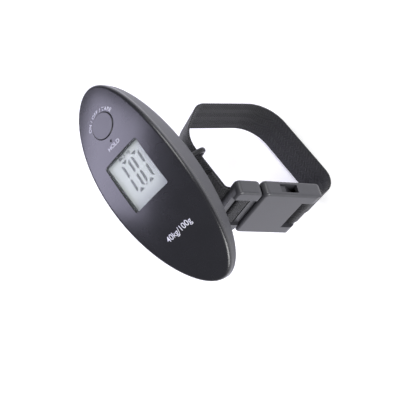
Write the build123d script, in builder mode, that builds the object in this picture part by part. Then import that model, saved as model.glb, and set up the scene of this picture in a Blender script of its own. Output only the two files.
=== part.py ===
from build123d import *
import math
import os

os.makedirs("parts", exist_ok=True)

# Frame: X across the case, Y along it toward the button, Z out of the face. Millimetres.

# Case
case_length = 135.0
case_width = 53.5
face_arch = 10.8
face_crown = 2.6
back_depth = 17.0
wall = 2.0
parting_drop = 3.2
rim_round = 2.4
back_round = 1.6

# Display
display_y = 3.0
window_width = 26.6
window_length = 31.6
window_thick = 1.0
window_top = 0.9
ledge = 0.5
ledge_thick = 1.2
fit_gap = 0.2
lcd_margin = 2.0
lcd_thick = 2.2
holder_wall = 1.6
board_top = -8.0
board_thick = 1.2
board_width = 29.6
board_low_y = -20.0
board_high_y = 46.0

# Button
button_y = 39.5
button_radius = 8.0
button_gap = 0.3
button_proud = 0.3
button_flange = 1.1
button_skirt = 3.4
lamp_y = 28.2
lamp_radius = 0.75
lamp_sunk = 0.7

# Shell screws
screw_x = 18.0
screw_y = 26.0
post_radius = 2.9
split_z = -7.0
screw_radius = 0.95
screw_head_radius = 1.9
screw_head = 1.3

# Load cell and its links
cell_width = 10.0
cell_low_y = -29.0
cell_high_y = 6.0
cell_thick = 4.8
cell_gap = 0.4
boss_width = 38.0
boss_length = 52.0
boss_depth = 12.5
boss_taper = 4.0
pin_radius = 1.5
pin_z = -24.0
link_lean = 26.0
link_width = 7.0
link_thick = 5.0
running = 0.05

# Strap ring
ring_wire = 1.5
ring_top_l = 14.0
ring_top_half = 13.0
ring_half = 15.6
ring_drop = 8.0
ring_bend = 2.4

# Webbing
webbing = 25.0
webbing_thick = 1.4
layer_gap = 0.1
loop_far = 94.0
loop_side = 30.6
loop_side_l = 45.5
loop_near_u = 13.4
loop_far_u = 12.2
near_bend = 20.0
side_bend = 9.0
far_bend = 23.0
end_bend = 12.0
split_u = -38.0

# Buckle, along its own axis from the ladder end
buckle_u = -30.4
buckle_l = 21.3
buckle_swing = 27.0
buckle_width = 42.0
buckle_thick = 10.0
insert_thick = 4.8
rail_thick = 9.4
bar = 3.2
ladder_end = 16.0
neck_end = 19.5
prong_root_w = 13.5
prong_knuckle = 1.6
prong_thick = 2.6
prong_end = 37.4
barb_start = 28.1
barb_reach = 19.9
guide_end = 40.0
socket_start = 16.6
socket_end = 55.0
cavity_end = 41.8
window_start = 27.5
window_end = 38.5
socket_wall = 2.6
end_bar_s = 51.5
end_bar_radius = 2.0

# Battery
battery_y = -43.0
cell_radius = 10.0
cell_height = 3.2
door_radius = 11.6
door_thick = 1.8
door_ring = 1.0
lug_reach = 1.8
bridge_top = -8.2
bridge_thick = 1.2


def arch_radius(half_span, rise):
    return (half_span**2 + rise**2) / (2 * rise)


half_length = case_length / 2
half_width = case_width / 2
long_radius = arch_radius(half_length, face_arch + face_crown)
cross_radius = arch_radius(half_width, face_crown)
floor_z = -back_depth + wall


def crowned_block(drop):
    """Everything below the face when the face is lowered by drop, bowed both ways."""
    top = face_crown - drop
    axis = Axis((0, 0, face_crown - long_radius), (1, 0, 0))
    with BuildPart() as block:
        with BuildSketch(Plane.XZ):
            with Locations((0, face_crown - cross_radius)):
                Circle(cross_radius - drop)
            with Locations((0, top - 30)):
                Rectangle(case_width + 10, 60.2, mode=Mode.INTERSECT)
        revolve(axis=axis, revolution_arc=70)
    return block.part.rotate(axis, -35)


def oval_block(inset, low, high):
    with BuildPart() as block:
        with BuildSketch(Plane.XY.offset(low)):
            Ellipse(half_width - inset, half_length - inset)
        extrude(amount=high - low)
    return block.part


def cylinder_between(x, y, low, high, radius):
    with BuildPart() as block:
        with BuildSketch(Plane.XY.offset(low)):
            with Locations((x, y)):
                Circle(radius)
        extrude(amount=high - low)
    return block.part


def face_z(y):
    return face_crown - long_radius + math.sqrt(long_radius**2 - y**2)


button_tilt = math.asin(button_y / long_radius)
button_plane = Plane(
    origin=(0, button_y, face_z(button_y)),
    x_dir=(1, 0, 0),
    z_dir=(0, math.sin(button_tilt), math.cos(button_tilt)),
)
ledge_top = window_top - window_thick
lcd_top = ledge_top - ledge_thick
lcd_width = window_width + lcd_margin
lcd_length = window_length + lcd_margin
screw_spots = [(x, y) for x in (-screw_x, screw_x) for y in (-screw_y, screw_y)]
peg_spots = [(x, y) for x in (-12.3, 12.3) for y in (board_low_y + 1.7, board_high_y - 12)]

# Front shell: face, rim, window ledge and screw posts
face_inside = crowned_block(wall)
face_middle = crowned_block(wall / 2)
face_hollow = oval_block(wall, -60, 10) & face_inside
ledge_block = Box(
    window_width + 4, window_length + 4, 20, align=(Align.CENTER, Align.CENTER, Align.MIN)
)
ledge_block = Pos(0, display_y, lcd_top) * ledge_block & face_middle
with BuildPart() as front_shell:
    add(oval_block(0, -60, 10) & crowned_block(0))
    fillet(front_shell.edges().group_by(SortBy.LENGTH)[-1].sort_by(Axis.Z)[-1:], rim_round)
    add(crowned_block(parting_drop), mode=Mode.SUBTRACT)
    add(face_hollow, mode=Mode.SUBTRACT)
    add(ledge_block)
    for spot_x, spot_y in screw_spots:
        add(cylinder_between(spot_x, spot_y, split_z, 10, post_radius) & face_middle)
    with BuildSketch(Plane.XY.offset(ledge_top)):
        with Locations((0, display_y)):
            RectangleRounded(window_width + fit_gap, window_length + fit_gap, 1.2)
    extrude(amount=10, mode=Mode.SUBTRACT)
    with BuildSketch(Plane.XY.offset(lcd_top)):
        with Locations((0, display_y)):
            Rectangle(window_width - 2 * ledge, window_length - 2 * ledge)
    extrude(amount=10, mode=Mode.SUBTRACT)
    with BuildSketch(button_plane.offset(-6)):
        Circle(button_radius + button_gap)
    extrude(amount=10, mode=Mode.SUBTRACT)
    with BuildSketch(Plane.XY.offset(split_z)):
        with Locations(*screw_spots):
            Circle(screw_radius + running)
    extrude(amount=5, mode=Mode.SUBTRACT)
    with BuildSketch(Plane.XY.offset(-10)):
        with Locations((0, lamp_y)):
            Circle(lamp_radius + running)
    extrude(amount=20, mode=Mode.SUBTRACT)
front_shell.part.label = "front_shell"
export_step(front_shell.part, "parts/front_shell.step")

# Rear shell: tub with a hollow boss for the load link
boss_bottom = -back_depth - boss_depth
with BuildPart() as boss_outer:
    with BuildSketch(Plane.XY.offset(-back_depth)):
        Ellipse(boss_width / 2, boss_length / 2)
    with BuildSketch(Plane.XY.offset(boss_bottom)):
        Ellipse(boss_width / 2 - boss_taper, boss_length / 2 - boss_taper * 1.8)
    loft()
    fillet(boss_outer.edges().group_by(Axis.Z)[0], 3)
with BuildPart() as boss_inner:
    with BuildSketch(Plane.XY.offset(floor_z)):
        Ellipse(boss_width / 2 - wall - 1, boss_length / 2 - wall - 1)
    with BuildSketch(Plane.XY.offset(boss_bottom + wall)):
        Ellipse(boss_width / 2 - boss_taper - wall - 1, boss_length / 2 - boss_taper * 1.8 - wall - 1)
    loft()
bridge_low = bridge_top - bridge_thick
bridge_post_x = door_radius + lug_reach + 1.9
with BuildPart() as rear_shell:
    add(oval_block(0, -back_depth, 10))
    fillet(rear_shell.edges().group_by(Axis.Z)[0], back_round)
    add(crowned_block(parting_drop), mode=Mode.INTERSECT)
    add(oval_block(wall, floor_z, 20), mode=Mode.SUBTRACT)
    add(boss_outer.part)
    add(boss_inner.part, mode=Mode.SUBTRACT)
    with BuildSketch(Plane.XY.offset(floor_z - 0.5)):
        with Locations(*screw_spots):
            Circle(post_radius)
    extrude(amount=split_z - floor_z + 0.5)
    with BuildSketch(Plane.XY.offset(floor_z - 0.5)):
        with Locations(*peg_spots):
            Circle(1.6)
    extrude(amount=board_top - board_thick - floor_z + 0.5)
    with BuildSketch(Plane.XY.offset(floor_z - 0.5)):
        with Locations((-bridge_post_x, battery_y), (bridge_post_x, battery_y)):
            Circle(1.4)
    extrude(amount=bridge_low - floor_z + 0.5)
    with BuildSketch(Plane.XY.offset(floor_z - 0.5)):
        with Locations((0, cell_low_y + 3)):
            Rectangle(cell_width, 6)
    extrude(amount=cell_gap + 0.5)
    with BuildSketch(Plane.XY.offset(-back_depth)):
        with Locations(*screw_spots):
            Circle(screw_head_radius + 0.3)
    extrude(amount=4, mode=Mode.SUBTRACT)
    with BuildSketch(Plane.XY.offset(-back_depth)):
        with Locations(*screw_spots):
            Circle(screw_radius + 0.2)
    extrude(amount=20, mode=Mode.SUBTRACT)
    with BuildSketch(Plane.XY.offset(boss_bottom)):
        RectangleRounded(19, link_width + 2.4, 3)
    extrude(amount=wall + 1, mode=Mode.SUBTRACT)
    with BuildSketch(Plane.XY.offset(-back_depth)):
        with Locations((0, battery_y)):
            Circle(door_radius + fit_gap)
            with PolarLocations(0, 3, start_angle=60):
                with Locations(((door_radius + lug_reach) / 2, 0)):
                    Rectangle(door_radius + lug_reach + 0.4, 8.4)
    extrude(amount=wall, mode=Mode.SUBTRACT)
    with BuildSketch(Plane.XY.offset(floor_z - 1.2)):
        with Locations((-3, cell_low_y + 3), (3, cell_low_y + 3)):
            Circle(1.25)
    extrude(amount=5, mode=Mode.SUBTRACT)
rear_shell.part.label = "rear_shell"
export_step(rear_shell.part, "parts/rear_shell.step")

# Display stack
with BuildPart() as display_window:
    with BuildSketch(Plane.XY.offset(ledge_top)):
        with Locations((0, display_y)):
            RectangleRounded(window_width, window_length, 1.1)
    extrude(amount=window_thick)
display_window.part.label = "display_window"
export_step(display_window.part, "parts/display_window.step")

with BuildPart() as lcd_panel:
    with BuildSketch(Plane.XY.offset(lcd_top - lcd_thick)):
        with Locations((0, display_y)):
            Rectangle(lcd_width, lcd_length)
    extrude(amount=lcd_thick)
lcd_panel.part.label = "lcd_panel"
export_step(lcd_panel.part, "parts/lcd_panel.step")

holder_top = lcd_top - lcd_thick + 1.4
with BuildPart() as lcd_holder:
    with BuildSketch(Plane.XY.offset(board_top)):
        with Locations((0, display_y)):
            Rectangle(lcd_width + 2 * holder_wall, lcd_length + 2 * holder_wall)
            Rectangle(lcd_width - 2, lcd_length - 2, mode=Mode.SUBTRACT)
    extrude(amount=holder_top - board_top)
    with BuildSketch(Plane.XY.offset(lcd_top - lcd_thick)):
        with Locations((0, display_y)):
            Rectangle(lcd_width + fit_gap, lcd_length + fit_gap)
    extrude(amount=5, mode=Mode.SUBTRACT)
lcd_holder.part.label = "lcd_holder"
export_step(lcd_holder.part, "parts/lcd_holder.step")

with BuildPart() as zebra_connector:
    with BuildSketch(Plane.XY.offset(board_top)):
        with Locations((0, display_y - lcd_length / 2 + 3)):
            Rectangle(lcd_width - 4, 2.2)
    extrude(amount=lcd_top - lcd_thick - board_top)
zebra_connector.part.label = "zebra_connector"
export_step(zebra_connector.part, "parts/zebra_connector.step")

# Circuit board and what stands on it
board_bottom = board_top - board_thick
with BuildPart() as circuit_board:
    with BuildSketch(Plane.XY.offset(board_bottom)):
        with Locations((0, (board_low_y + board_high_y) / 2)):
            RectangleRounded(board_width, board_high_y - board_low_y, 2)
        with Locations((0, 0)):
            Circle(2.2, mode=Mode.SUBTRACT)
    extrude(amount=board_thick)
circuit_board.part.label = "circuit_board"
export_step(circuit_board.part, "parts/circuit_board.step")

with BuildPart() as chip_blob:
    with BuildSketch(Plane.XY.offset(board_top)):
        with Locations((0, 8)):
            Circle(4.5)
    extrude(amount=1.4)
    fillet(chip_blob.edges().group_by(Axis.Z)[-1], 1.1)
chip_blob.part.label = "chip_blob"
export_step(chip_blob.part, "parts/chip_blob.step")

with BuildPart() as board_parts:
    with BuildSketch(Plane.XY.offset(board_top)):
        with Locations((-9, -4), (-9, 0), (9, -4), (9, 0), (9, 14), (-9, 14), (8, 30), (-8, 30)):
            Rectangle(1.6, 3)
    extrude(amount=1)
board_parts.part.label = "board_parts"
export_step(board_parts.part, "parts/board_parts.step")

# Power button over a tact switch
switch_top = board_top + 2.9
plunger_top = switch_top + 0.7
with BuildPart() as tact_switch:
    with BuildSketch(Plane.XY.offset(board_top)):
        with Locations((0, button_y)):
            RectangleRounded(6, 6, 0.6)
    extrude(amount=switch_top - board_top)
    with BuildSketch(Plane.XY.offset(board_top + 0.8)):
        with Locations((0, button_y)):
            Circle(1.7 + running)
    extrude(amount=5, mode=Mode.SUBTRACT)
tact_switch.part.label = "tact_switch"
export_step(tact_switch.part, "parts/tact_switch.step")

with BuildPart() as switch_plunger:
    add(cylinder_between(0, button_y, board_top + 1.6, plunger_top, 1.7))
switch_plunger.part.label = "switch_plunger"
export_step(switch_plunger.part, "parts/switch_plunger.step")

with BuildPart() as power_button:
    with BuildSketch(button_plane.offset(-button_skirt)):
        Circle(button_radius)
    extrude(amount=button_skirt + button_proud)
    fillet(power_button.edges().group_by(Axis.Z)[-1], 0.5)
    with BuildSketch(button_plane.offset(-button_skirt)):
        Circle(button_radius + button_flange)
    extrude(amount=0.8)
    with BuildSketch(Plane.XY.offset(plunger_top)):
        with Locations((0, button_y)):
            Rectangle(40, 40)
    extrude(amount=-20, mode=Mode.SUBTRACT)
power_button.part.label = "power_button"
export_step(power_button.part, "parts/power_button.step")

# Hold lamp: a small LED under a light pipe
with BuildPart() as hold_led:
    with BuildSketch(Plane.XY.offset(board_top)):
        with Locations((0, lamp_y)):
            Rectangle(1.6, 3.2)
    extrude(amount=1.1)
hold_led.part.label = "hold_led"
export_step(hold_led.part, "parts/hold_led.step")

with BuildPart() as light_pipe:
    add(cylinder_between(0, lamp_y, board_top + 1.1, face_z(lamp_y) - lamp_sunk, lamp_radius))
    add(cylinder_between(0, lamp_y, board_top + 1.1, face_z(lamp_y) - wall - 0.4, 1.4))
light_pipe.part.label = "light_pipe"
export_step(light_pipe.part, "parts/light_pipe.step")

# Load cell: an aluminium bending beam with two gauges on its top
cell_bottom = floor_z + cell_gap
cell_top = cell_bottom + cell_thick
with BuildPart() as load_cell:
    with BuildSketch(Plane.XY.offset(cell_bottom)):
        with Locations((0, (cell_low_y + cell_high_y) / 2)):
            RectangleRounded(cell_width, cell_high_y - cell_low_y, 1)
        with Locations((-3, cell_low_y + 3), (3, cell_low_y + 3)):
            Circle(1.25, mode=Mode.SUBTRACT)
    extrude(amount=cell_thick)
    with BuildSketch(Plane.YZ):
        with Locations((-15, cell_bottom + cell_thick / 2), (-9, cell_bottom + cell_thick / 2)):
            Circle(1.5)
        with Locations((-12, cell_bottom + cell_thick / 2)):
            Rectangle(6, 1)
    extrude(amount=cell_width, both=True, mode=Mode.SUBTRACT)
    with BuildSketch(Plane.XY.offset(cell_bottom)):
        Circle(1.5)
    extrude(amount=3.6, mode=Mode.SUBTRACT)
load_cell.part.label = "load_cell"
export_step(load_cell.part, "parts/load_cell.step")

with BuildPart() as strain_gauges:
    with BuildSketch(Plane.XY.offset(cell_top)):
        with Locations((0, -15), (0, -9)):
            Rectangle(5, 4)
    extrude(amount=0.15)
strain_gauges.part.label = "strain_gauges"
export_step(strain_gauges.part, "parts/strain_gauges.step")

with BuildPart() as cell_screws:
    with BuildSketch(Plane.XY.offset(floor_z - 1)):
        with Locations((-3, cell_low_y + 3), (3, cell_low_y + 3)):
            Circle(1.2)
    extrude(amount=cell_top - floor_z + 1)
    with BuildSketch(Plane.XY.offset(cell_top)):
        with Locations((-3, cell_low_y + 3), (3, cell_low_y + 3)):
            Circle(2.2)
    extrude(amount=1.5)
    with BuildSketch(Plane.XY.offset(cell_top + 0.7)):
        with Locations((-3, cell_low_y + 3), (3, cell_low_y + 3)):
            Rectangle(2.4, 0.6)
            Rectangle(0.6, 2.4)
    extrude(amount=2, mode=Mode.SUBTRACT)
cell_screws.part.label = "cell_screws"
export_step(cell_screws.part, "parts/cell_screws.step")

# Yoke under the beam's free end, with two ears for the link pin
yoke_bottom = cell_bottom - 1.5
ear_inner = link_thick / 2 + fit_gap
with BuildPart() as load_yoke:
    with BuildSketch(Plane.XY.offset(yoke_bottom)):
        RectangleRounded(9, 2 * ear_inner + 3, 1)
        Circle(1.55, mode=Mode.SUBTRACT)
    extrude(amount=1.5)
    for side in (-1, 1):
        with BuildSketch(Plane.XZ.offset(side * (ear_inner + 0.75))):
            with Locations((0, pin_z)):
                Circle(3)
            with Locations((0, (pin_z + yoke_bottom + 1) / 2)):
                Rectangle(6, yoke_bottom + 1 - pin_z)
            with Locations((0, pin_z)):
                Circle(pin_radius, mode=Mode.SUBTRACT)
        extrude(amount=0.75, both=True)
load_yoke.part.label = "load_yoke"
export_step(load_yoke.part, "parts/load_yoke.step")

with BuildPart() as yoke_screw:
    with BuildSketch(Plane.XY.offset(yoke_bottom)):
        Circle(1.45)
    extrude(amount=4.9)
    with BuildSketch(Plane.XY.offset(yoke_bottom - 1.5)):
        Circle(2.5)
    extrude(amount=1.5)
    with BuildSketch(Plane.XY.offset(yoke_bottom - 1.5)):
        Rectangle(3, 0.7)
        Rectangle(0.7, 3)
    extrude(amount=0.8, mode=Mode.SUBTRACT)
yoke_screw.part.label = "yoke_screw"
export_step(yoke_screw.part, "parts/yoke_screw.step")

with BuildPart() as link_pin:
    with BuildSketch(Plane.XZ):
        with Locations((0, pin_z)):
            Circle(pin_radius)
    extrude(amount=ear_inner + 1.7, both=True)
link_pin.part.label = "link_pin"
export_step(link_pin.part, "parts/link_pin.step")

# Loop plane: u runs along the case, l away from it, leaned to one side about the pin
lean = math.radians(link_lean)
across = Vector(math.cos(lean), 0, math.sin(lean))
loop_plane = Plane(origin=(0, 0, pin_z), x_dir=(0, 1, 0), z_dir=across)
leaned_front = Plane(origin=(0, 0, pin_z), x_dir=across, z_dir=(0, -1, 0))

with BuildPart() as load_link:
    with BuildSketch(leaned_front):
        Circle(link_width / 2)
        with Locations((0, -ring_top_l / 2)):
            Rectangle(link_thick, ring_top_l)
        with Locations((0, -2.5)):
            Rectangle(link_width, 5)
    extrude(amount=link_thick / 2, both=True)
    with BuildSketch(loop_plane):
        with Locations((0, -ring_top_l)):
            Circle(link_width / 2)
        with Locations((0, -ring_top_l + 2.5)):
            Rectangle(link_width, 5)
    extrude(amount=link_thick / 2, both=True)
    with BuildSketch(leaned_front):
        Circle(pin_radius + running)
    extrude(amount=link_thick, both=True, mode=Mode.SUBTRACT)
    with BuildSketch(loop_plane):
        with Locations((0, -ring_top_l)):
            Circle(ring_wire + running)
    extrude(amount=link_thick, both=True, mode=Mode.SUBTRACT)
load_link.part.label = "load_link"
export_step(load_link.part, "parts/load_link.step")

near_l = ring_top_l + ring_drop
ring_bottom_l = near_l + webbing_thick / 2 + layer_gap + ring_wire
with BuildPart() as strap_ring:
    with BuildLine(leaned_front):
        ring_path = FilletPolyline(
            (-ring_top_half, -ring_top_l),
            (ring_top_half, -ring_top_l),
            (ring_half, -ring_bottom_l),
            (-ring_half, -ring_bottom_l),
            radius=ring_bend,
            close=True,
        )
    with BuildSketch(Plane(origin=ring_path @ 0, z_dir=ring_path % 0)):
        Circle(ring_wire)
    sweep(path=ring_path)
strap_ring.part.label = "strap_ring"
export_step(strap_ring.part, "parts/strap_ring.step")

# Buckle axis inside the loop plane
swing = math.radians(buckle_swing)
axis_u = -math.sin(swing)
axis_l = math.cos(swing)


def on_buckle(s, t):
    """Loop-plane point s along the buckle and t outward from its middle."""
    return (buckle_u + s * axis_u - t * axis_l, -(buckle_l + s * axis_l + t * axis_u))


buckle_origin = loop_plane.from_local_coords((buckle_u, -buckle_l, 0))
buckle_along = loop_plane.from_local_coords((*on_buckle(1, 0), 0)) - buckle_origin
buckle_out = loop_plane.from_local_coords((*on_buckle(0, 1), 0)) - buckle_origin
buckle_plane = Plane(origin=buckle_origin, x_dir=buckle_along, z_dir=buckle_out)
buckle_side = Plane(origin=buckle_origin, x_dir=buckle_along, z_dir=across)

# Webbing: from its tail through the ladder, along the loop to the sewn end
strap_step = webbing_thick + layer_gap
inner_t = -(insert_thick / 2 + layer_gap + webbing_thick / 2)
main_t = inner_t - strap_step
slot_one = 1.5 * bar
slot_two = 3.5 * bar


def meet(t, level):
    """Loop-plane u where a strap layer t off the buckle reaches level l."""
    s = (level - buckle_l - t * axis_u) / axis_l
    return buckle_u + s * axis_u - t * axis_l


with BuildPart() as strap_webbing:
    with BuildSketch(loop_plane):
        with BuildLine():
            FilletPolyline(
                (-13, -near_l + strap_step),
                (meet(inner_t, near_l - strap_step), -near_l + strap_step),
                on_buckle(1, inner_t),
                radius=3 + strap_step,
            )
            FilletPolyline(
                on_buckle(1, inner_t),
                on_buckle(slot_one, inner_t),
                on_buckle(slot_one, -inner_t),
                on_buckle(slot_two, -inner_t),
                on_buckle(slot_two, main_t),
                on_buckle(1, main_t),
                radius=1.2,
            )
            FilletPolyline(
                on_buckle(1, main_t),
                (meet(main_t, near_l), -near_l),
                (0, -near_l),
                radius=3,
            )
            FilletPolyline(
                (0, -near_l),
                (loop_near_u, -near_l),
                ((loop_near_u + loop_side) / 2, -(near_l + loop_side_l) / 2),
                radius=near_bend,
            )
            FilletPolyline(
                ((loop_near_u + loop_side) / 2, -(near_l + loop_side_l) / 2),
                (loop_side, -loop_side_l),
                ((loop_side + loop_far_u) / 2, -(loop_side_l + loop_far) / 2),
                radius=side_bend,
            )
            FilletPolyline(
                ((loop_side + loop_far_u) / 2, -(loop_side_l + loop_far) / 2),
                (loop_far_u, -loop_far),
                (split_u + 0.15, -loop_far),
                radius=far_bend,
            )
        trace(line_width=webbing_thick)
    extrude(amount=webbing / 2, both=True)
strap_webbing.part.label = "strap_webbing"
export_step(strap_webbing.part, "parts/strap_webbing.step")

bar_u, bar_y = on_buckle(end_bar_s, 0)
wrap = end_bar_radius + layer_gap + webbing_thick / 2
with BuildPart() as strap_sewn_end:
    with BuildSketch(loop_plane):
        with BuildLine():
            FilletPolyline(
                (bar_u + strap_step / 2, bar_y - 14.5),
                (bar_u + strap_step / 2, bar_y - 9),
                (bar_u + wrap, bar_y - 4),
                (bar_u + wrap, bar_y + wrap),
                (bar_u - wrap, bar_y + wrap),
                (bar_u - wrap, bar_y - 4),
                (bar_u - strap_step / 2, bar_y - 9),
                (bar_u - strap_step / 2, bar_y - 12),
                radius=wrap * 0.99,
            )
            FilletPolyline(
                (bar_u - strap_step / 2, bar_y - 12),
                (bar_u - strap_step / 2, -loop_far),
                (split_u - 0.15, -loop_far),
                radius=end_bend,
            )
        trace(line_width=webbing_thick)
    extrude(amount=webbing / 2, both=True)
strap_sewn_end.part.label = "strap_sewn_end"
export_step(strap_sewn_end.part, "parts/strap_sewn_end.step")

# Buckle insert: thick side rails, ladder bars between them, neck and the middle guide
half_insert = insert_thick / 2
slot_half = webbing / 2 + 0.7
with BuildPart() as buckle_insert:
    with BuildSketch(buckle_plane.offset(-rail_thick / 2)):
        with Locations((ladder_end / 2, 0)):
            RectangleRounded(ladder_end, buckle_width - 1, 3.2)
    extrude(amount=rail_thick)
    ladder_sides = buckle_insert.faces().sort_by(Axis((0, 0, 0), buckle_out))
    fillet(ladder_sides[0].edges() + ladder_sides[-1].edges(), 1.6)
    for side in (-1, 1):
        with BuildSketch(buckle_plane.offset(side * half_insert)):
            with Locations((ladder_end / 2, 0)):
                Rectangle(ladder_end + 2, 2 * slot_half)
        extrude(amount=side * rail_thick, mode=Mode.SUBTRACT)
    with BuildSketch(buckle_plane.offset(-half_insert)):
        with Locations(((ladder_end + neck_end) / 2 - 1, 0)):
            Rectangle(neck_end - ladder_end + 2, 2 * prong_root_w + 3.4)
        with Locations(((neck_end + guide_end) / 2, 0)):
            Rectangle(guide_end - neck_end, 5)
    extrude(amount=insert_thick)
    with BuildSketch(buckle_plane.offset(-half_insert)):
        with Locations((slot_one, 0), (slot_two, 0)):
            Rectangle(bar, 2 * slot_half)
        with Locations((neck_end, prong_root_w), (neck_end, -prong_root_w)):
            Circle(prong_knuckle + running)
    extrude(amount=insert_thick, mode=Mode.SUBTRACT)
    with BuildSketch(buckle_plane.offset(-half_insert)):
        with Locations((guide_end, 0)):
            Rectangle(2 * (guide_end - neck_end - 1), 5)
    extrude(amount=1.2, mode=Mode.SUBTRACT)
    with BuildSketch(buckle_plane.offset(half_insert)):
        with Locations((guide_end, 0)):
            Rectangle(2 * (guide_end - neck_end - 1), 5)
    extrude(amount=-1.2, mode=Mode.SUBTRACT)
buckle_insert.part.label = "buckle_insert"
export_step(buckle_insert.part, "parts/buckle_insert.step")

# Two prongs, each with a knuckle in the neck and a barb in the socket's side window
arm_in = prong_root_w - prong_thick / 2
arm_out = prong_root_w + prong_thick / 2
for side, name in ((1, "prong_right"), (-1, "prong_left")):
    with BuildPart() as prong:
        with BuildSketch(buckle_plane.offset(-half_insert + 0.2)):
            with Locations((neck_end, side * prong_root_w)):
                Circle(prong_knuckle)
            with BuildLine():
                Polyline(
                    (neck_end, side * arm_in),
                    (prong_end, side * (arm_in + 0.6)),
                    (prong_end + 1.5, side * (arm_in + 1.8)),
                    (prong_end, side * (arm_out + 0.9)),
                    (barb_start + 3, side * barb_reach),
                    (barb_start, side * barb_reach),
                    (barb_start, side * arm_out),
                    (neck_end, side * arm_out),
                    close=True,
                )
            make_face()
        extrude(amount=insert_thick - 0.4)
    prong.part.label = name
    export_step(prong.part, f"parts/{name}.step")

# Buckle socket: hollow for the prongs, side windows, slot and end bar
half_buckle = buckle_thick / 2
cavity_half = half_insert + 0.35
with BuildPart() as buckle_socket:
    with BuildSketch(buckle_plane.offset(-half_buckle)):
        with Locations(((socket_start + socket_end) / 2, 0)):
            RectangleRounded(socket_end - socket_start, buckle_width, 3.2)
    extrude(amount=buckle_thick)
    socket_sides = buckle_socket.faces().sort_by(Axis((0, 0, 0), buckle_out))
    fillet(socket_sides[0].edges() + socket_sides[-1].edges(), 1.8)
    with BuildSketch(buckle_side):
        with Locations((socket_end - half_buckle, 0)):
            Circle(half_buckle)
        with Locations(((socket_start + socket_end - half_buckle) / 2 - 1, 0)):
            Rectangle(socket_end - half_buckle - socket_start + 2, buckle_thick)
    extrude(amount=buckle_width, both=True, mode=Mode.INTERSECT)
    with BuildSketch(buckle_plane.offset(-cavity_half)):
        with Locations(((socket_start + cavity_end) / 2 - 1, 0)):
            Rectangle(cavity_end - socket_start + 2, buckle_width - 2 * socket_wall)
        with Locations(((window_start + window_end) / 2, 0)):
            Rectangle(window_end - window_start, buckle_width + 4)
    extrude(amount=2 * cavity_half, mode=Mode.SUBTRACT)
    with BuildSketch(buckle_plane.offset(-half_buckle)):
        with Locations(((cavity_end + 2.4 + socket_end + 4) / 2, 0)):
            Rectangle(socket_end + 4 - cavity_end - 2.4, 2 * slot_half)
    extrude(amount=buckle_thick, mode=Mode.SUBTRACT)
    with BuildSketch(loop_plane):
        with Locations((bar_u, bar_y)):
            Circle(end_bar_radius)
    extrude(amount=slot_half + 0.6, both=True)
buckle_socket.part.label = "buckle_socket"
export_step(buckle_socket.part, "parts/buckle_socket.step")

# Battery: a coin cell in the ring of a bayonet door
door_bottom = -back_depth
with BuildPart() as battery_door:
    with BuildSketch(Plane.XY.offset(door_bottom)):
        with Locations((0, battery_y)):
            Circle(door_radius)
    extrude(amount=door_thick)
    with BuildSketch(Plane.XY.offset(door_bottom + door_thick)):
        with Locations((0, battery_y)):
            Circle(cell_radius + 0.15 + door_ring)
            Circle(cell_radius + 0.15, mode=Mode.SUBTRACT)
    extrude(amount=cell_height - 0.8)
    with BuildSketch(Plane.XY.offset(floor_z + fit_gap)):
        with Locations((0, battery_y)):
            with PolarLocations(cell_radius + door_ring + lug_reach / 2, 3):
                Rectangle(lug_reach + 0.8, 7)
    extrude(amount=1)
    with BuildSketch(Plane.XY.offset(door_bottom)):
        with Locations((0, battery_y)):
            SlotOverall(15, 2)
    extrude(amount=0.9, mode=Mode.SUBTRACT)
battery_door.part.label = "battery_door"
export_step(battery_door.part, "parts/battery_door.step")

coin_low = door_bottom + door_thick + 0.05
with BuildPart() as coin_cell:
    add(cylinder_between(0, battery_y, coin_low, coin_low + cell_height - 0.4, cell_radius))
    fillet(coin_cell.edges().group_by(Axis.Z)[0], 0.5)
    add(cylinder_between(0, battery_y, coin_low + 1, coin_low + cell_height, cell_radius - 2.2))
coin_cell.part.label = "coin_cell"
export_step(coin_cell.part, "parts/coin_cell.step")

with BuildPart() as contact_bridge:
    with BuildSketch(Plane.XY.offset(bridge_low)):
        with Locations((0, battery_y)):
            RectangleRounded(2 * bridge_post_x + 2.6, 8, 1.2)
    extrude(amount=bridge_thick)
contact_bridge.part.label = "contact_bridge"
export_step(contact_bridge.part, "parts/contact_bridge.step")

leaf = 0.3
leaf_high = bridge_low - leaf / 2
for side, name, reach, rest in (
    (-1, "contact_negative", 7.0, coin_low + cell_height),
    (1, "contact_positive", 9.0, coin_low + cell_height - 0.4),
):
    leaf_low = rest + leaf / 2 + 0.05
    with BuildPart() as contact:
        with BuildSketch(Plane.YZ.offset(side * 4)):
            with BuildLine():
                FilletPolyline(
                    (battery_y - side * 3.6, leaf_high),
                    (battery_y + side * 3.2, leaf_high),
                    (battery_y + side * reach, leaf_low),
                    (battery_y + side * (reach + 1), leaf_low + 0.5),
                    radius=0.4,
                )
            trace(line_width=leaf)
        extrude(amount=2, both=True)
    contact.part.label = name
    export_step(contact.part, f"parts/{name}.step")

# Screws that hold the two shells together
with BuildPart() as shell_screws:
    with BuildSketch(Plane.XY.offset(-back_depth + 4 - screw_head)):
        with Locations(*screw_spots):
            Circle(screw_head_radius)
    extrude(amount=screw_head)
    with BuildSketch(Plane.XY.offset(-back_depth + 4)):
        with Locations(*screw_spots):
            Circle(screw_radius)
    extrude(amount=split_z + 4.5 + back_depth - 4)
    with BuildSketch(Plane.XY.offset(-back_depth + 4 - screw_head)):
        with Locations(*screw_spots):
            Rectangle(2.2, 0.5)
            Rectangle(0.5, 2.2)
    extrude(amount=0.6, mode=Mode.SUBTRACT)
shell_screws.part.label = "shell_screws"
export_step(shell_screws.part, "parts/shell_screws.step")

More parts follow.
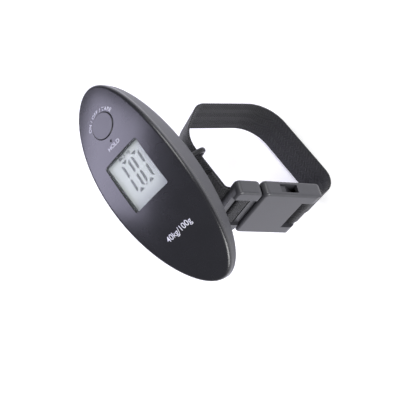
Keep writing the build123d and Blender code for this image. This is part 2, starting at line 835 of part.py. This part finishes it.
# Wires
wire = 0.45
with BuildPart() as battery_wires:
    for side in (-1, 1):
        start = Vector(side * 5, battery_y + 2, bridge_top + wire)
        with BuildLine() as run:
            Spline(
                start,
                (side * 5, battery_y + 11, bridge_top + 1.6),
                (side * 5, board_low_y + 2.5, board_top + wire),
            )
        with BuildSketch(Plane(origin=start, z_dir=run.line % 0)):
            Circle(wire)
        sweep(path=run.line)
battery_wires.part.label = "battery_wires"
export_step(battery_wires.part, "parts/battery_wires.step")

with BuildPart() as gauge_wires:
    for side in (-1, 1):
        for step in (0, 1):
            y = -13.5 + 3 * step
            start = Vector(side * (cell_width / 2 + wire), y, cell_top - 1)
            with BuildLine() as run:
                Spline(
                    start,
                    (side * (cell_width / 2 + 2), y, cell_top - 1.6),
                    (side * (cell_width / 2 + 4), y, board_bottom - wire),
                )
            with BuildSketch(Plane(origin=start, z_dir=run.line % 0)):
                Circle(wire)
            sweep(path=run.line)
gauge_wires.part.label = "gauge_wires"
export_step(gauge_wires.part, "parts/gauge_wires.step")
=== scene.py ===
import math

import bmesh
import bpy
from mathutils import Matrix, Vector
from mathutils.bvhtree import BVHTree


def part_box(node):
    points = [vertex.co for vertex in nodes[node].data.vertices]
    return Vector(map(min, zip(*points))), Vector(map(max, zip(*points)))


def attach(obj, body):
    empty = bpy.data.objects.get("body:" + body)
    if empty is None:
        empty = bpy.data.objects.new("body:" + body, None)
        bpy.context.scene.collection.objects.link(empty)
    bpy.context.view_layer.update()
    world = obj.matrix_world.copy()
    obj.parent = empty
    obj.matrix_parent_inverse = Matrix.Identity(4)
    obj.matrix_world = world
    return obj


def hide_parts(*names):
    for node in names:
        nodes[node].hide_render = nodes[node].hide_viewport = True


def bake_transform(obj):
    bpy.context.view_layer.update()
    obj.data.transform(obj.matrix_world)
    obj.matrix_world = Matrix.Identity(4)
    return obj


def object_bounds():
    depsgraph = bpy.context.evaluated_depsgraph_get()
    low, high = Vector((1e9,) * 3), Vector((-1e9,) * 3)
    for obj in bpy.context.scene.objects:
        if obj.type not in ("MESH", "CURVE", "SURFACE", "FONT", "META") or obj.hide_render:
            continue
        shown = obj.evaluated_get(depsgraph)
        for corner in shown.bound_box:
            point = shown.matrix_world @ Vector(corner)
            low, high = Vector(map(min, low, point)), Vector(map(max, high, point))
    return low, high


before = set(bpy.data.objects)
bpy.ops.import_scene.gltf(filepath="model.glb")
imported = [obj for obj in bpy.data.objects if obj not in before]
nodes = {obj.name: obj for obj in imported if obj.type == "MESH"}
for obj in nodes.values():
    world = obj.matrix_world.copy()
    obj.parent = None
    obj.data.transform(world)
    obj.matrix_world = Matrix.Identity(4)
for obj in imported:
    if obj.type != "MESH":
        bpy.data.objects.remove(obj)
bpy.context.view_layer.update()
MM = 0.001


# --- Helpers -----------------------------------------------------------------


def linear(code):
    """An sRGB hex colour as linear light."""
    shares = [int(code[i : i + 2], 16) / 255 for i in (1, 3, 5)]
    light = [s / 12.92 if s <= 0.04045 else ((s + 0.055) / 1.055) ** 2.4 for s in shares]
    return (*light, 1.0)


def add_node(tree, kind, inputs=(), **settings):
    """A shader node with its settings, and each input given a value or a link."""
    made = tree.nodes.new("ShaderNode" + kind)
    for name, value in settings.items():
        setattr(made, name, value)
    for name, value in dict(inputs).items():
        if isinstance(value, bpy.types.NodeSocket):
            tree.links.new(value, made.inputs[name])
        else:
            made.inputs[name].default_value = value
    return made


def new_finish(name, colour, roughness, ior=1.5, **more):
    material = bpy.data.materials.new(name)
    material.use_nodes = True
    shader = material.node_tree.nodes["Principled BSDF"]
    shader.inputs["Base Color"].default_value = linear(colour)
    shader.inputs["Roughness"].default_value = roughness
    shader.inputs["IOR"].default_value = ior
    for socket, value in more.items():
        shader.inputs[socket.replace("_", " ")].default_value = value
    return material, material.node_tree, shader


def tell_colours(tree, shader, factor, first, second):
    """Base colour that drifts between two shades as the factor goes from 0 to 1."""
    mix = add_node(tree, "Mix", {0: factor, 6: linear(first), 7: linear(second)}, data_type="RGBA")
    tree.links.new(mix.outputs[2], shader.inputs["Base Color"])


def finish_piece(bm, name, body, material, place=Matrix(), smooth=40):
    """A millimetre bmesh made a piece in metres, in its place, riding on its body."""
    bmesh.ops.transform(bm, matrix=Matrix.Scale(MM, 4) @ place, verts=bm.verts)
    bmesh.ops.recalc_face_normals(bm, faces=bm.faces)
    mesh = bpy.data.meshes.new(name)
    bm.to_mesh(mesh)
    bm.free()
    mesh.materials.append(material)
    mesh.shade_smooth()
    mesh.set_sharp_from_angle(angle=math.radians(smooth))
    piece = bpy.data.objects.new(name, mesh)
    bpy.context.scene.collection.objects.link(piece)
    if body:
        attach(piece, body)
    return piece


# --- Finishes ----------------------------------------------------------------


def moulded(name, colour, worn, roughness, grain_mm, depth_mm, **more):
    """Injection moulded plastic: an even skin, the mould's spark grain, faint flow shading."""
    material, tree, shader = new_finish(name, colour, roughness, **more)
    place = add_node(tree, "TexCoord").outputs["Object"]
    flow = add_node(tree, "TexNoise", {"Vector": place, "Scale": 1 / (14 * MM), "Detail": 2.0})
    grain = add_node(
        tree, "TexNoise", {"Vector": place, "Scale": 1 / (grain_mm * MM), "Detail": 2.0}
    )
    tell_colours(tree, shader, flow.outputs["Fac"], colour, worn)
    sheen = add_node(
        tree,
        "MapRange",
        {"Value": flow.outputs["Fac"], "To Min": roughness - 0.04, "To Max": roughness + 0.04},
    )
    tree.links.new(sheen.outputs["Result"], shader.inputs["Roughness"])
    bump = add_node(
        tree, "Bump", {"Height": grain.outputs["Fac"], "Strength": 0.35, "Distance": depth_mm * MM}
    )
    tree.links.new(bump.outputs["Normal"], shader.inputs["Normal"])
    return material


def bare_metal(name, colour, shade, roughness, stretch, line_mm):
    """Bare or plated metal: drawn or brushed lines that run one way and break the gloss."""
    material, tree, shader = new_finish(name, colour, roughness, Metallic=1.0)
    place = add_node(tree, "TexCoord").outputs["Object"]
    along = add_node(tree, "Mapping", {"Vector": place, "Scale": stretch})
    lines = add_node(
        tree, "TexNoise", {"Vector": along.outputs[0], "Scale": 1 / (line_mm * MM), "Detail": 3.0}
    )
    tell_colours(tree, shader, lines.outputs["Fac"], colour, shade)
    sheen = add_node(
        tree,
        "MapRange",
        {"Value": lines.outputs["Fac"], "To Min": roughness - 0.08, "To Max": roughness + 0.1},
    )
    tree.links.new(sheen.outputs["Result"], shader.inputs["Roughness"])
    return material


def speckled(name, colour, shade, roughness, spot_mm, **more):
    """A filled or coated surface whose spots show: board mask, epoxy, ceramic, foil."""
    material, tree, shader = new_finish(name, colour, roughness, **more)
    place = add_node(tree, "TexCoord").outputs["Object"]
    spots = add_node(tree, "TexVoronoi", {"Vector": place, "Scale": 1 / (spot_mm * MM)})
    tell_colours(tree, shader, spots.outputs["Distance"], colour, shade)
    return material


def woven_polypropylene():
    """Black polypropylene webbing, woven in narrow herringbone rows: matt, with a dry sheen
    where the yarns lie across the light. The colour follows the weave's height: painted shade
    in the pits between the yarns, painted light on their crests."""
    material, tree, shader = new_finish("woven_polypropylene", "#0e0e10", 0.66)
    shader.inputs["Sheen Weight"].default_value = 0.12
    shader.inputs["Sheen Roughness"].default_value = 0.4
    # The map is in metres: across the band, then along it. Rows are 3.6 mm wide and yarns
    # 1.6 mm apart, about three times as coarse as the real yarns so that they show.
    spots = add_node(tree, "UVMap", uv_map="weave").outputs["UV"]
    parts = add_node(tree, "SeparateXYZ", {"Vector": spots})
    slant = add_node(tree, "Math", {0: parts.outputs["X"], 1: 3.6 * MM}, operation="PINGPONG")
    lean = add_node(tree, "Math", {0: slant.outputs[0], 1: 1.0}, operation="MULTIPLY")
    shifted = add_node(tree, "Math", {0: parts.outputs["Y"], 1: lean.outputs[0]}, operation="ADD")
    turns = add_node(
        tree, "Math", {0: shifted.outputs[0], 1: 2 * math.pi / (1.6 * MM)}, operation="MULTIPLY"
    )
    yarn = add_node(tree, "Math", {0: turns.outputs[0]}, operation="SINE")
    rows = add_node(
        tree, "Math", {0: parts.outputs["X"], 1: 2 * math.pi / (3.6 * MM)}, operation="MULTIPLY"
    )
    row = add_node(tree, "Math", {0: rows.outputs[0]}, operation="COSINE")
    both = add_node(
        tree, "Math", {0: row.outputs[0], 1: 0.08, 2: yarn.outputs[0]}, operation="MULTIPLY_ADD"
    )
    fuzz = add_node(
        tree,
        "TexNoise",
        {"Vector": add_node(tree, "TexCoord").outputs["Object"], "Scale": 1 / (0.5 * MM)},
    )
    height = add_node(
        tree, "Math", {0: fuzz.outputs["Fac"], 1: 0.6, 2: both.outputs[0]}, operation="MULTIPLY_ADD"
    )
    bump = add_node(
        tree, "Bump", {"Height": height.outputs[0], "Strength": 0.8, "Distance": 0.16 * MM}
    )
    tree.links.new(bump.outputs["Normal"], shader.inputs["Normal"])
    # Painted shade and light: the base colour goes dark in the weave's pits and lighter on the yarn
    # crests, from the same height as the bump
    shade = add_node(
        tree, "MapRange", {"Value": height.outputs[0], "From Min": -1.1, "From Max": 1.5}
    )
    tell_colours(tree, shader, shade.outputs["Result"], "#040405", "#232327")
    return material


# Moulded ABS: near black, satin, with a fine spark grain that spreads a lamp softly
face_abs = moulded("moulded_abs_face", "#1b1b1e", "#202024", 0.27, 0.4, 0.006, ior=1.54)
# The back half is the same ABS off a coarser mould, so its sides look drier; its lighter grey base
# colour is painted light, for the sides lit from the right
back_abs = moulded("moulded_abs_back", "#2a2a2f", "#303036", 0.42, 0.5, 0.012, ior=1.54)
key_abs = moulded("moulded_abs_key", "#1d1d20", "#232327", 0.33, 0.4, 0.008, ior=1.54)
# White ABS of the display holder, hidden inside
white_abs = moulded("moulded_abs_white", "#d9d8d2", "#e3e2dc", 0.45, 0.5, 0.01)
# Acetal buckle: dark grey, waxy satin off a matt mould
acetal = moulded("moulded_acetal", "#3a3a3e", "#444448", 0.34, 0.45, 0.012, ior=1.48)
prong_acetal = moulded("moulded_acetal_prong", "#28282c", "#2e2e33", 0.36, 0.45, 0.012, ior=1.48)
rubber = moulded("silicone_elastomer", "#8d8f94", "#a2a4a8", 0.6, 0.4, 0.01)
smoked = moulded("smoked_light_pipe", "#0b0b0d", "#101013", 0.2, 0.6, 0.002)
lamp_resin = moulded("led_epoxy", "#c9c4b4", "#d8d4c6", 0.3, 0.4, 0.004)
switch_black = moulded("moulded_nylon_plunger", "#1a1a1c", "#232325", 0.4, 0.4, 0.006)
wire_pvc = moulded("extruded_pvc_red", "#9c1f1b", "#b02a24", 0.4, 0.6, 0.004)
# Solder mask over glass fibre: glossy green that mottles with the weave below
solder_mask = speckled("board_solder_mask", "#0d4a2a", "#126238", 0.32, 0.8)
chip_epoxy = speckled("chip_epoxy", "#0d0d0e", "#161617", 0.35, 0.5)
chip_ceramic = speckled("ceramic_chip", "#8a7350", "#a08660", 0.4, 0.3)
gauge_foil = speckled("gauge_film", "#b5803a", "#c79350", 0.3, 0.4)
# Black epoxy coat on drawn wire: a soft dark gloss with no metal showing
ring_black = moulded("epoxy_coated_wire", "#121214", "#19191c", 0.32, 0.4, 0.004)
# Zinc on turned pins and screws, mill-finish aluminium
zinc = bare_metal("zinc_plated_steel", "#a9acb0", "#8d9094", 0.34, (1, 0.15, 1), 0.3)
aluminium = bare_metal("milled_aluminium", "#b4b6b8", "#9fa1a4", 0.36, (1, 0.08, 1), 0.25)
cell_steel = bare_metal("battery_steel", "#c4c5c6", "#aeafb1", 0.24, (0.2, 1, 1), 0.3)
spring_steel = bare_metal("contact_spring_steel", "#b9b6a8", "#9f9c90", 0.28, (1, 0.2, 1), 0.3)

# Clear cast acrylic: almost nothing but a faint gloss and a trace of cool tint
acrylic, acrylic_tree, acrylic_shader = new_finish(
    "clear_acrylic", "#a9b0ad", 0.04, ior=1.49, Alpha=0.1
)
smear = add_node(
    acrylic_tree,
    "TexNoise",
    {"Vector": add_node(acrylic_tree, "TexCoord").outputs["Object"], "Scale": 1 / (6 * MM)},
)
wiped = add_node(
    acrylic_tree, "MapRange", {"Value": smear.outputs["Fac"], "To Min": 0.02, "To Max": 0.09}
)
acrylic_tree.links.new(wiped.outputs["Result"], acrylic_shader.inputs["Roughness"])

# Display glass under its polariser: flat grey-green, matt, a touch darker here and there
polariser, polariser_tree, polariser_shader = new_finish("lcd_polariser", "#c6ccc6", 0.5)
cloud = add_node(
    polariser_tree,
    "TexNoise",
    {"Vector": add_node(polariser_tree, "TexCoord").outputs["Object"], "Scale": 1 / (9 * MM)},
)
tell_colours(polariser_tree, polariser_shader, cloud.outputs["Fac"], "#c0c7c1", "#cad0ca")
# A driven segment lets the polariser go dark: soft grey, never black
segment_grey = moulded("lcd_segment", "#565b58", "#616663", 0.55, 0.5, 0.001)
# Pad-printed white ink, thin and slightly uneven
white_ink = moulded("pad_printed_ink", "#d6d6de", "#c2c2cc", 0.5, 0.3, 0.004)
webbing_weave = woven_polypropylene()
# Bonded polyester thread, a shade shinier than the webbing
thread = moulded("bonded_polyester_thread", "#1c1c20", "#2a2a2f", 0.4, 0.3, 0.01)

node_finish = {
    "front_shell": face_abs,
    "power_button": key_abs,
    "rear_shell": back_abs,
    "battery_door": back_abs,
    "display_window": acrylic,
    "lcd_panel": polariser,
    "lcd_holder": white_abs,
    "zebra_connector": rubber,
    "circuit_board": solder_mask,
    "chip_blob": chip_epoxy,
    "board_parts": chip_ceramic,
    "tact_switch": zinc,
    "switch_plunger": switch_black,
    "hold_led": lamp_resin,
    "light_pipe": smoked,
    "load_cell": aluminium,
    "strain_gauges": gauge_foil,
    "cell_screws": zinc,
    "load_yoke": zinc,
    "yoke_screw": zinc,
    "link_pin": zinc,
    "load_link": zinc,
    "strap_ring": ring_black,
    "coin_cell": cell_steel,
    "contact_bridge": white_abs,
    "contact_negative": spring_steel,
    "contact_positive": spring_steel,
    "shell_screws": zinc,
    "battery_wires": wire_pvc,
    "gauge_wires": wire_pvc,
    "buckle_insert": acetal,
    "prong_left": prong_acetal,
    "prong_right": prong_acetal,
    "buckle_socket": acetal,
}
for name, material in node_finish.items():
    nodes[name].data.materials.clear()
    nodes[name].data.materials.append(material)


# --- The strap's plane -------------------------------------------------------

# Sizes of the strap loop and buckle, in millimetres, as the CAD has them. In the loop's
# plane x runs along the case, y up toward it and z across the webbing.
lean = math.radians(26)
pin_z = -24.0
near_l = 22.0
loop_far = 94.0
buckle_u, buckle_l = -30.4, 21.3
swing = math.radians(27)
gap_step = 1.5
inner_t = -3.2
main_t = inner_t - gap_step
slot_one, slot_two = 4.8, 11.2
bar_s = 51.5
# Corners of the loop, as places along the case and down from the pin, and their bends
near_u, near_bend = 13.4, 20.0
side_u, side_l, side_bend = 30.6, 45.5, 9.0
far_u, far_bend = 12.2, 23.0
end_bend = 12.0
loop_place = Matrix.Translation((0, 0, pin_z)) @ Matrix(
    (
        (0, math.sin(-lean), math.cos(lean), 0),
        (1, 0, 0, 0),
        (0, math.cos(lean), math.sin(lean), 0),
        (0, 0, 0, 1),
    )
)


def on_buckle(s, t):
    """The loop-plane point s along the buckle and t out from its middle."""
    return Vector(
        (
            buckle_u - s * math.sin(swing) - t * math.cos(swing),
            -(buckle_l + s * math.cos(swing) - t * math.sin(swing)),
        )
    )


def meet(t, level):
    """Where a strap layer t off the buckle comes up to the given level under the case."""
    s = (level - buckle_l + t * math.sin(swing)) / math.cos(swing)
    return Vector((on_buckle(s, t).x, -level))


# --- Webbing -----------------------------------------------------------------


def weave_band(name, corners, stretch, body):
    """A band of webbing drawn along its run: straight between corners, rolled round each.
    Every second pick draws the selvedge in, which gives its edge the small teeth."""
    bm = bmesh.new()
    along = bm.verts.layers.float.new("along")
    points = [Vector(c[:2]) for c in corners]
    heading = (points[1] - points[0]).normalized()
    side = Vector((-heading.y, heading.x))
    edge_shape = [(0.0, 12.5), (0.5, 12.35), (0.64, 11.7), (0.62, 11.1), (0.59, 10.7), (0.6, 10.1)]
    top = [*edge_shape, (0.6, 5.0), (0.6, 0.0)]
    top = [*top, *[(t, -w) for t, w in reversed(top[:-1])]]
    outline = [*top, *[(-t, w) for t, w in reversed(top[1:-1])]]
    first = [bm.verts.new((*(points[0] + side * t), w)) for t, w in outline]
    front = [bm.edges.new((a, b)) for a, b in zip(first, first[1:] + first[:1])]
    bm.faces.new(first)
    here, gone, pick = points[0], 0.0, 0

    def draw(count, length, step):
        """Draws the band on by count picks, each moved by the same step."""
        nonlocal front, gone, pick
        for _ in range(count):
            grown = bmesh.ops.extrude_edge_only(bm, edges=front)["geom"]
            fresh = [g for g in grown if isinstance(g, bmesh.types.BMVert)]
            held = set(fresh)
            front = [
                g
                for g in grown
                if isinstance(g, bmesh.types.BMEdge) and held.issuperset(g.verts)
            ]
            bmesh.ops.transform(bm, matrix=step, verts=fresh)
            gone += length
            pick += 1
            for v in fresh:
                v[along] = gone
                if abs(v.co.z) > 12.0:
                    v.co.z += math.copysign(0.3 if pick % 2 else -0.3, -v.co.z)

    bends = corners_radii(corners)
    for before, corner, after, radius in zip(points, points[1:], points[2:], bends):
        coming = (corner - before).normalized()
        going = (after - corner).normalized()
        turn = math.atan2(coming.cross(going), coming.dot(going))
        trim = radius * math.tan(abs(turn) / 2)
        run = (corner - here).length - trim
        if run > 0.02:
            count = max(1, round(run / stretch))
            draw(count, run / count, Matrix.Translation((coming * (run / count)).to_3d()))
        centre = corner - coming * trim
        centre += Vector((-coming.y, coming.x)) * math.copysign(radius, turn)
        count = max(3, round(abs(turn) * max(radius, 3.0) / stretch))
        roll = Matrix.Translation(centre.to_3d()) @ Matrix.Rotation(turn / count, 4, "Z")
        draw(count, abs(turn) * radius / count, roll @ Matrix.Translation(-centre.to_3d()))
        here = corner + going * trim
    run = (points[-1] - here).length
    count = max(1, round(run / stretch))
    last = (points[-1] - here) / count
    draw(count, run / count, Matrix.Translation(last.to_3d()))
    bmesh.ops.holes_fill(bm, edges=front)
    chart = bm.loops.layers.uv.new("weave")
    for face in bm.faces:
        for loop in face.loops:
            loop[chart].uv = (loop.vert.co.z * MM, loop.vert[along] * MM)
    band = finish_piece(bm, name, body, webbing_weave, loop_place, 80)
    rounder = band.modifiers.new("Soft edge", "SUBSURF")
    rounder.levels = rounder.render_levels = 1
    return band


def corners_radii(corners):
    return [c[2] for c in corners[1:-1]]


def at(point, radius=0.0):
    return (point[0], point[1], radius)


bar = on_buckle(bar_s, 0)
wrap = 2.8
wrap_bend = 2.7
neck_bend = 2.6
ladder_bend = 1.2
band = weave_band(
    "strap_band",
    [
        at((-13, -near_l + gap_step)),
        at(meet(inner_t, near_l - gap_step), 4.5),
        at(on_buckle(slot_one, inner_t), ladder_bend),
        at(on_buckle(slot_one, -inner_t), ladder_bend),
        at(on_buckle(slot_two, -inner_t), ladder_bend),
        at(on_buckle(slot_two, main_t), ladder_bend),
        at(meet(main_t, near_l), 3.0),
        at((near_u, -near_l), near_bend),
        at((side_u, -side_l), side_bend),
        at((far_u, -loop_far), far_bend),
        at((bar.x - gap_step / 2, -loop_far), end_bend),
        at((bar.x - gap_step / 2, bar.y - 9), neck_bend),
        at((bar.x - wrap, bar.y - 4), neck_bend),
        at((bar.x - wrap, bar.y + wrap), wrap_bend),
        at((bar.x + wrap, bar.y + wrap), wrap_bend),
        at((bar.x + wrap, bar.y - 4), neck_bend),
        at((bar.x + gap_step / 2, bar.y - 9), neck_bend),
        at((bar.x + gap_step / 2, bar.y - 13.8)),
    ],
    1.05,
    None,
)
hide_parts("strap_webbing", "strap_sewn_end")
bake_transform(band)

stitches = bmesh.new()
for face_side in (-1, 1):
    for row in (-10.0, -11.6, -13.2):
        for count in range(9):
            place = Matrix.Translation(
                (bar.x + face_side * 1.42, bar.y + row, -10.4 + 2.6 * count)
            )
            shape = place @ Matrix.Diagonal((0.16, 0.26, 1.0, 1.0))
            bmesh.ops.create_uvsphere(stitches, u_segments=8, v_segments=6, radius=1, matrix=shape)
finish_piece(stitches, "strap_stitching", "socket", thread, loop_place, 80)


# --- Display -----------------------------------------------------------------

glass_low, glass_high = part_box("lcd_panel")
glass_z = glass_high.z / MM
mid_y = (glass_low.y + glass_high.y) / 2 / MM


def cut_shape(bm, points, z, thick=0.05):
    """A thin flat piece with the given outline, standing on height z."""
    face = bm.faces.new([bm.verts.new((x, y, z)) for x, y in points])
    raised = bmesh.ops.extrude_face_region(bm, geom=[face])["geom"]
    moved = [g for g in raised if isinstance(g, bmesh.types.BMVert)]
    bmesh.ops.translate(bm, vec=(0, 0, thick), verts=moved)


def draw_zero(bm, x, y):
    """One driven zero of a seven-segment display, leaning a little as they do."""
    upright = [(0.8, 4.0), (0.8, -3.5), (0.1, -4.1), (-0.8, -3.3), (-0.8, 2.5)]
    cap = [(-2.0, 0.9), (1.9, 0.9), (0.45, -0.95), (-0.45, -0.95)]
    for right in (-1, 1):
        for up in (-1, 1):
            spots = [(right * (2.5 + a), up * (4.7 + b)) for a, b in upright]
            cut_shape(bm, [(x + a + 0.06 * b, y + b) for a, b in spots], glass_z + 0.02)
    for up in (-1, 1):
        spots = [(a, up * (9.0 + b)) for a, b in cap]
        cut_shape(bm, [(x + a + 0.06 * b, y + b) for a, b in spots], glass_z + 0.02)


segments = bmesh.new()
draw_zero(segments, -2.65, mid_y + 2.0)
draw_zero(segments, 5.55, mid_y + 2.0)
bmesh.ops.create_circle(
    segments,
    cap_ends=True,
    segments=12,
    radius=0.5,
    matrix=Matrix.Translation((1.2, mid_y - 7.0, glass_z + 0.06)),
)
cut_shape(segments, [(-4.6, 16.3), (-2.2, 16.3), (-2.6, 18.1), (-4.0, 18.1)], glass_z + 0.02)
dash = ((-0.35, -0.3), (0.35, -0.3), (0.35, 0.3), (-0.35, 0.3))
for turn in range(7):
    angle = math.radians(-60 + 50 * turn)
    spot = (-0.8 + 1.1 * math.cos(angle), 17.2 + 1.1 * math.sin(angle))
    cut_shape(
        segments,
        [(spot[0] + a, spot[1] + b) for a, b in dash],
        glass_z + 0.02,
    )
finish_piece(segments, "lcd_segments", "case", segment_grey)


# --- Printing ----------------------------------------------------------------


def type_set(name, words, height_mm, body, material, settle, spacing=1.0):
    """Words as flat ink. settle moves each point of the type, in millimetres, to its place."""
    type_curve = bpy.data.curves.new(name, "FONT")
    type_curve.body = words
    type_curve.size = height_mm / 0.7
    type_curve.space_character = spacing
    type_curve.align_x = "CENTER"
    type_curve.align_y = "CENTER"
    type_curve.offset = 0.012 * height_mm
    source = bpy.data.objects.new(name + "_type", type_curve)
    bpy.context.scene.collection.objects.link(source)
    mesh = bpy.data.meshes.new_from_object(source)
    bpy.data.objects.remove(source)
    bm = bmesh.new()
    bm.from_mesh(mesh)
    bmesh.ops.remove_doubles(bm, verts=bm.verts, dist=0.001)
    for v in bm.verts:
        v.co = settle(v.co.x, v.co.y)
    piece = finish_piece(bm, name, body, material)
    ink = piece.modifiers.new("Ink", "SOLIDIFY")
    ink.thickness = 0.04 * MM
    ink.offset = -1
    return piece


face_skin = BVHTree.FromObject(nodes["front_shell"], bpy.context.evaluated_depsgraph_get())


def on_face(x, y):
    """The point of the case's face under (x, y), a hair above the plastic."""
    hit = face_skin.ray_cast(Vector((x, y, 40)) * MM, Vector((0, 0, -1)))[0]
    return Vector((x, y, hit.z / MM + 0.03))


key_low, key_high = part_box("power_button")
key_y = (key_low.y + key_high.y) / 2 / MM


def round_key(x, y):
    """Type bent round the key, its feet 9.4 mm from the key's middle."""
    reach = 10.4 + y
    return on_face(reach * math.sin(x / 10.4), key_y + reach * math.cos(x / 10.4))


type_set(
    "legend_on_off_tare", "ON / OFF / TARE", 2.1, "case", white_ink, round_key, 1.1
)
type_set(
    "legend_hold", "HOLD", 2.4, "case", white_ink, lambda x, y: on_face(x, y + 25.0)
)
type_set(
    "legend_range",
    "40kg/100g",
    3.2,
    "case",
    white_ink,
    lambda x, y: on_face(x, y - 35.0),
)
type_set(
    "lcd_unit",
    "kg",
    1.9,
    "case",
    segment_grey,
    lambda x, y: Vector((x + 3.4, y + mid_y + 13.9, glass_z + 0.06)),
)


# --- Floor, lamps and camera -------------------------------------------------

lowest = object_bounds()[0].z
floor_bm = bmesh.new()
bmesh.ops.create_grid(floor_bm, x_segments=2, y_segments=2, size=3.0)
floor_mesh = bpy.data.meshes.new("floor")
floor_bm.to_mesh(floor_mesh)
floor_bm.free()
floor = bpy.data.objects.new("floor", floor_mesh)
bpy.context.scene.collection.objects.link(floor)
floor.location.z = lowest - 0.0005
paper, _, paper_shader = new_finish("matt_white_paper", "#f4f4f4", 0.9)
paper_shader.inputs["Emission Color"].default_value = (1, 1, 1, 1)
paper_shader.inputs["Emission Strength"].default_value = 0.25
floor_mesh.materials.append(paper)

world = bpy.data.worlds.new("studio")
world.use_nodes = True
world.node_tree.nodes["Background"].inputs["Color"].default_value = (0.92, 0.94, 1.0, 1)
world.node_tree.nodes["Background"].inputs["Strength"].default_value = 0.22
bpy.context.scene.world = world


def softbox(name, toward, distance, width, height, watts, colour="#ffffff"):
    """A square lamp that faces the object from the given direction."""
    lamp = bpy.data.lights.new(name, "AREA")
    lamp.shape = "RECTANGLE"
    lamp.size, lamp.size_y = width, height
    lamp.energy = watts
    lamp.color = linear(colour)[:3]
    box = bpy.data.objects.new(name, lamp)
    bpy.context.scene.collection.objects.link(box)
    direction = Vector(toward).normalized()
    box.location = direction * distance + Vector((0, 0, -0.03))
    box.rotation_euler = direction.to_track_quat("Z", "Y").to_euler()
    return box


softbox("face_panel", (-0.52, 0.56, 0.66), 0.9, 0.75, 0.62, 9.0, "#e6e2ff")
softbox("side_panel", (0.85, 0.35, 0.55), 1.0, 0.5, 0.5, 5.0)
softbox("low_panel", (0.35, -0.85, 0.45), 1.1, 0.7, 0.5, 12.0)

camera_data = bpy.data.cameras.new("camera")
camera_data.sensor_width = 36.0
camera_data.lens = 60.14
camera_data.shift_x, camera_data.shift_y = 0.1498, -0.0510
camera_data.clip_start, camera_data.clip_end = 0.01, 20.0
camera = bpy.data.objects.new("camera", camera_data)
bpy.context.scene.collection.objects.link(camera)
camera.matrix_world = (
    Matrix.Rotation(math.radians(53.89), 4, "Z")
    @ Matrix.Rotation(math.radians(33.81), 4, "X")
    @ Matrix.Rotation(math.radians(-95.16), 4, "Z")
    @ Matrix.Translation((0, 0, 0.36))
)
bpy.context.scene.camera = camera
bpy.context.scene.view_settings.view_transform = "Standard"

bpy.context.view_layer.update()
